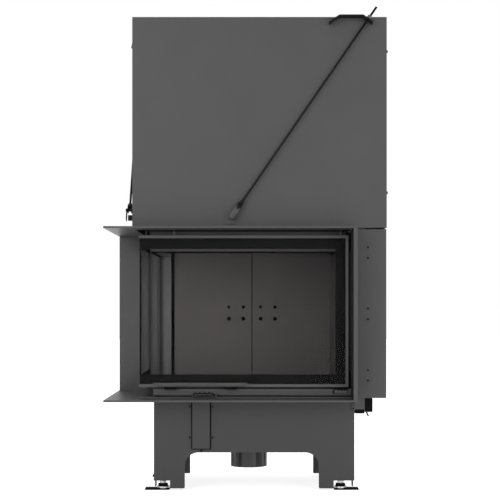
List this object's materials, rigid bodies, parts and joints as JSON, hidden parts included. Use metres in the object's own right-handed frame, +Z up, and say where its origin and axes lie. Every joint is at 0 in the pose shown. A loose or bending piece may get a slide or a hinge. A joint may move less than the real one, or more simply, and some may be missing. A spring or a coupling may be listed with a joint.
{
  "type": "fireplace insert",
  "caption": "Corner fireplace insert: glass on the front and left, a door that lifts into the housing above on a counterweight, cladding flanges, pedestal on levelling feet.",
  "frame": {"origin": "on the floor, in the middle of the overall width and depth", "axes": "+X to the right seen from the front, +Y to the back, +Z up"},
  "size_m": [0.917, 0.64, 1.5804],
  "materials": {
    "body_paint": "matte",
    "dark_paint": "matte",
    "firebox_lining": "matte",
    "zinc_plate": "satin",
    "bare_steel": "satin",
    "weight_iron": "matte",
    "fire_glass": "polished"
  },
  "bodies": {
    "root": {"pedestal_front": "body_paint", "pedestal_rear": "body_paint", "pedestal_left": "body_paint", "pedestal_right": "body_paint", "air_channel_cover": "body_paint", "bottom_flange": "body_paint", "top_flange": "body_paint", "right_flange": "body_paint", "rear_left_flange": "body_paint", "column_cover": "body_paint", "hearth_plate": "body_paint", "sill": "body_paint", "rear_left_post": "body_paint", "right_rail": "body_paint", "left_rail": "body_paint", "housing_front": "body_paint", "housing_left": "body_paint", "housing_top": "body_paint", "air_inlet": "dark_paint", "firebox_rear_wall": "dark_paint", "firebox_right_wall": "dark_paint", "firebox_ceiling": "dark_paint", "flue_collar": "dark_paint", "airwash_channel": "dark_paint", "housing_inner": "dark_paint", "front_tie": "dark_paint", "side_tie": "dark_paint", "front_tie_bracket": "dark_paint", "side_tie_bracket": "dark_paint", "front_tie_lug": "dark_paint", "side_tie_lug": "dark_paint", "lining_floor": "firebox_lining", "lining_back_left": "firebox_lining", "lining_back_right": "firebox_lining", "lining_right": "firebox_lining", "baffle": "firebox_lining", "left_hanger": "bare_steel", "right_hanger": "bare_steel", "left_door_cable": "bare_steel", "right_door_cable": "bare_steel", "left_weight_cable": "bare_steel", "right_weight_cable": "bare_steel"},
    "door": {"door_frame": "body_paint", "front_glass": "fire_glass", "side_glass": "fire_glass", "door_handle": "body_paint", "right_carriage": "bare_steel", "left_carriage": "bare_steel"},
    "roller_right_lower": {"roller_right_lower": "zinc_plate"},
    "roller_right_upper": {"roller_right_upper": "zinc_plate"},
    "roller_left_lower": {"roller_left_lower": "zinc_plate"},
    "roller_left_upper": {"roller_left_upper": "zinc_plate"},
    "lift_shaft": {"lift_shaft": "bare_steel"},
    "counterweight": {"counterweight": "weight_iron"},
    "air_control": {"air_slide": "bare_steel", "air_lever": "bare_steel"},
    "foot_front_left": {"foot_front_left": "zinc_plate"},
    "foot_front_right": {"foot_front_right": "zinc_plate"},
    "foot_rear_left": {"foot_rear_left": "zinc_plate"},
    "foot_rear_right": {"foot_rear_right": "zinc_plate"}
  },
  "joints": [
    {"name": "door_lift", "type": "slide", "parent": "root", "child": "door", "axis": [0, 0, 1], "range_m": [0, 0.48], "deforming": ["left_door_cable", "right_door_cable"]},
    {"name": "counterweight_drop", "type": "slide", "parent": "root", "child": "counterweight", "axis": [0, 0, -1], "range_m": [0, 0.48], "deforming": ["left_weight_cable", "right_weight_cable"]},
    {"name": "lift_shaft_turn", "type": "hinge", "parent": "root", "child": "lift_shaft", "pos_m": [0, -0.15, 1.49], "axis": [1, 0, 0], "range_deg": [-612, 0]},
    {"name": "roller_right_lower_turn", "type": "hinge", "parent": "door", "child": "roller_right_lower", "pos_m": [0.3691, -0.1977, 0.4182], "axis": [1, 0, 0], "range_deg": [0, 2392]},
    {"name": "roller_left_lower_turn", "type": "hinge", "parent": "door", "child": "roller_left_lower", "pos_m": [-0.34715, 0.2426, 0.4182], "axis": [0, 1, 0], "range_deg": [-2392, 0]},
    {"name": "roller_right_upper_turn", "type": "hinge", "parent": "door", "child": "roller_right_upper", "pos_m": [0.3691, -0.1977, 0.7582], "axis": [1, 0, 0], "range_deg": [0, 2392]},
    {"name": "roller_left_upper_turn", "type": "hinge", "parent": "door", "child": "roller_left_upper", "pos_m": [-0.34715, 0.2426, 0.7582], "axis": [0, 1, 0], "range_deg": [-2392, 0]},
    {"name": "air_lever_slide", "type": "slide", "parent": "root", "child": "air_control", "axis": [1, 0, 0], "range_m": [0, 0.031]},
    {"name": "foot_front_left_level", "type": "slide", "parent": "root", "child": "foot_front_left", "axis": [0, 0, -1], "range_m": [0, 0.03]},
    {"name": "foot_front_right_level", "type": "slide", "parent": "root", "child": "foot_front_right", "axis": [0, 0, -1], "range_m": [0, 0.03]},
    {"name": "foot_rear_left_level", "type": "slide", "parent": "root", "child": "foot_rear_left", "axis": [0, 0, -1], "range_m": [0, 0.03]},
    {"name": "foot_rear_right_level", "type": "slide", "parent": "root", "child": "foot_rear_right", "axis": [0, 0, -1], "range_m": [0, 0.03]}
  ],
  "couplings": [
    {"joint": "counterweight_drop", "follows": "door_lift", "ratio": 1},
    {"joint": "lift_shaft_turn", "follows": "door_lift", "rad_per_m": -22.222},
    {"joint": "roller_right_lower_turn", "follows": "door_lift", "rad_per_m": 86.957},
    {"joint": "roller_left_lower_turn", "follows": "door_lift", "rad_per_m": -86.957},
    {"joint": "roller_right_upper_turn", "follows": "door_lift", "rad_per_m": 86.957},
    {"joint": "roller_left_upper_turn", "follows": "door_lift", "rad_per_m": -86.957}
  ]
}
